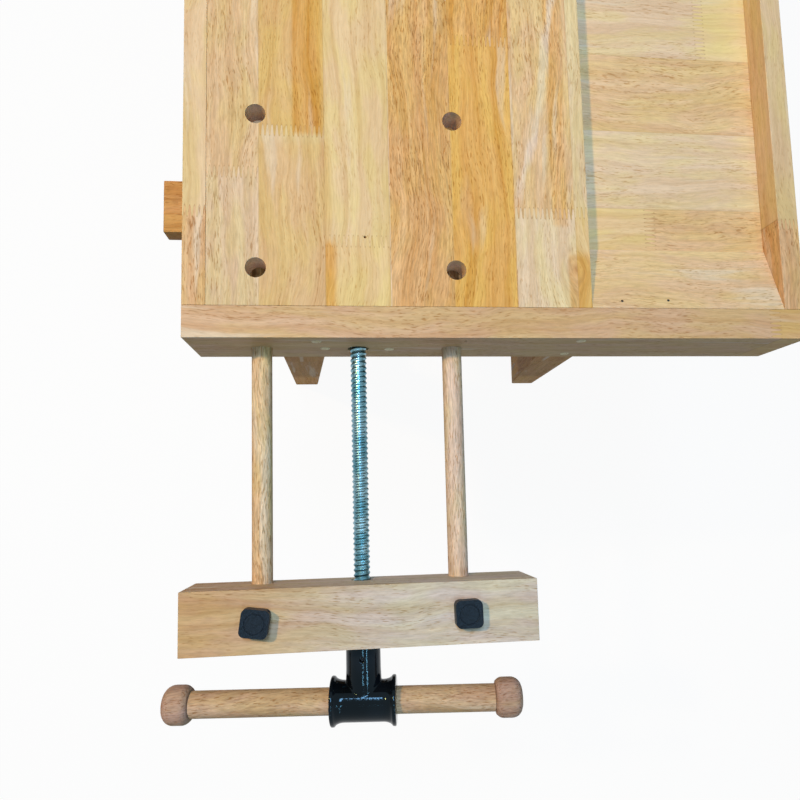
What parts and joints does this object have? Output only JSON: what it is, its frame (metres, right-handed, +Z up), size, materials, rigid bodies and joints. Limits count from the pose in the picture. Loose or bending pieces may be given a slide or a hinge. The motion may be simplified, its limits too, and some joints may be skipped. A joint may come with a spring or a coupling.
{
  "type": "woodworking_bench",
  "caption": "Hardwood woodworking bench with a ramped tool tray, lines of dog holes, a tail vise and a front vise with wooden jaws, guide rods and turned handles.",
  "frame": {"origin": "on the floor, under the middle of the overall box of the bench and its vises", "axes": "+X along the bench to its right end with the tail vise, +Y to the back with the tool tray, +Z up"},
  "size_m": [1.868, 0.806, 0.8712],
  "materials": {
    "top_wood": "satin",
    "frame_wood": "satin",
    "tray_wood": "satin",
    "jaw_wood": "satin",
    "turned_wood": "satin",
    "plated_steel": "zinc plated",
    "cast_black": "gloss",
    "dog_plastic": "matte"
  },
  "bodies": {
    "bench": {"top_slab": "top_wood", "front_edge_board": "top_wood", "middle_rail": "frame_wood", "tray_floor": "tray_wood", "back_rail": "top_wood", "end_board_left": "top_wood", "end_board_right": "top_wood", "tray_ramp_left": "tray_wood", "tray_ramp_right": "tray_wood", "tail_guide_rail": "frame_wood", "front_guide_rail": "frame_wood", "tail_nut": "cast_black", "front_nut": "cast_black", "front_stretcher": "frame_wood", "rear_stretcher": "frame_wood", "left_bearer": "frame_wood", "left_cross_rail": "frame_wood", "left_front_leg": "frame_wood", "left_front_bolt": "plated_steel", "left_front_barrel_nut": "plated_steel", "left_rear_leg": "frame_wood", "left_rear_bolt": "plated_steel", "left_rear_barrel_nut": "plated_steel", "right_bearer": "frame_wood", "right_cross_rail": "frame_wood", "right_front_leg": "frame_wood", "right_front_bolt": "plated_steel", "right_front_barrel_nut": "plated_steel", "right_rear_leg": "frame_wood", "right_rear_bolt": "plated_steel", "right_rear_barrel_nut": "plated_steel"},
    "tail_jaw": {"tail_jaw": "jaw_wood", "tail_guide_rod_front": "turned_wood", "tail_guide_rod_rear": "turned_wood", "tail_thrust_plate": "cast_black"},
    "tail_screw": {"tail_screw": "plated_steel", "tail_thrust_collar": "plated_steel", "tail_hub": "cast_black", "tail_hub_pin": "plated_steel", "tail_handle_bar": "turned_wood", "tail_knob_front": "turned_wood", "tail_knob_rear": "turned_wood"},
    "tail_dog_front": {"tail_dog_front": "dog_plastic"},
    "tail_dog_rear": {"tail_dog_rear": "dog_plastic"},
    "front_jaw": {"front_jaw": "jaw_wood", "front_guide_rod_left": "turned_wood", "front_guide_rod_right": "turned_wood", "front_thrust_plate": "cast_black"},
    "front_screw": {"front_screw": "plated_steel", "front_thrust_collar": "plated_steel", "front_hub": "cast_black", "front_hub_pin": "plated_steel", "front_handle_bar": "turned_wood", "front_knob_left": "turned_wood", "front_knob_right": "turned_wood"},
    "front_dog_left": {"front_dog_left": "dog_plastic"},
    "front_dog_right": {"front_dog_right": "dog_plastic"}
  },
  "joints": [
    {"name": "tail_jaw_slide", "type": "slide", "parent": "bench", "child": "tail_jaw", "axis": [1, 0, 0], "range_m": [-0.2255, 0.012]},
    {"name": "tail_screw_turn", "type": "hinge", "parent": "tail_jaw", "child": "tail_screw", "pos_m": [0.911, -0.047, 0.815], "axis": [1, 0, 0], "range_deg": [-16230, 860]},
    {"name": "tail_dog_front_lift", "type": "slide", "parent": "tail_jaw", "child": "tail_dog_front", "axis": [0, 0, 1], "range_m": [0, 0.05]},
    {"name": "tail_dog_rear_lift", "type": "slide", "parent": "tail_jaw", "child": "tail_dog_rear", "axis": [0, 0, 1], "range_m": [0, 0.05]},
    {"name": "front_jaw_slide", "type": "slide", "parent": "bench", "child": "front_jaw", "axis": [0, -1, 0], "range_m": [-0.0595, 0.178]},
    {"name": "front_screw_turn", "type": "hinge", "parent": "front_jaw", "child": "front_screw", "pos_m": [-0.75, -0.38, 0.815], "axis": [0, -1, 0], "range_deg": [-4280, 12810]},
    {"name": "front_dog_left_lift", "type": "slide", "parent": "front_jaw", "child": "front_dog_left", "axis": [0, 0, 1], "range_m": [0, 0.05]},
    {"name": "front_dog_right_lift", "type": "slide", "parent": "front_jaw", "child": "front_dog_right", "axis": [0, 0, 1], "range_m": [0, 0.05]}
  ],
  "couplings": [
    {"joint": "tail_jaw_slide", "follows": "tail_screw_turn", "m_per_rad": 0.00079577},
    {"joint": "front_jaw_slide", "follows": "front_screw_turn", "m_per_rad": 0.00079577}
  ]
}
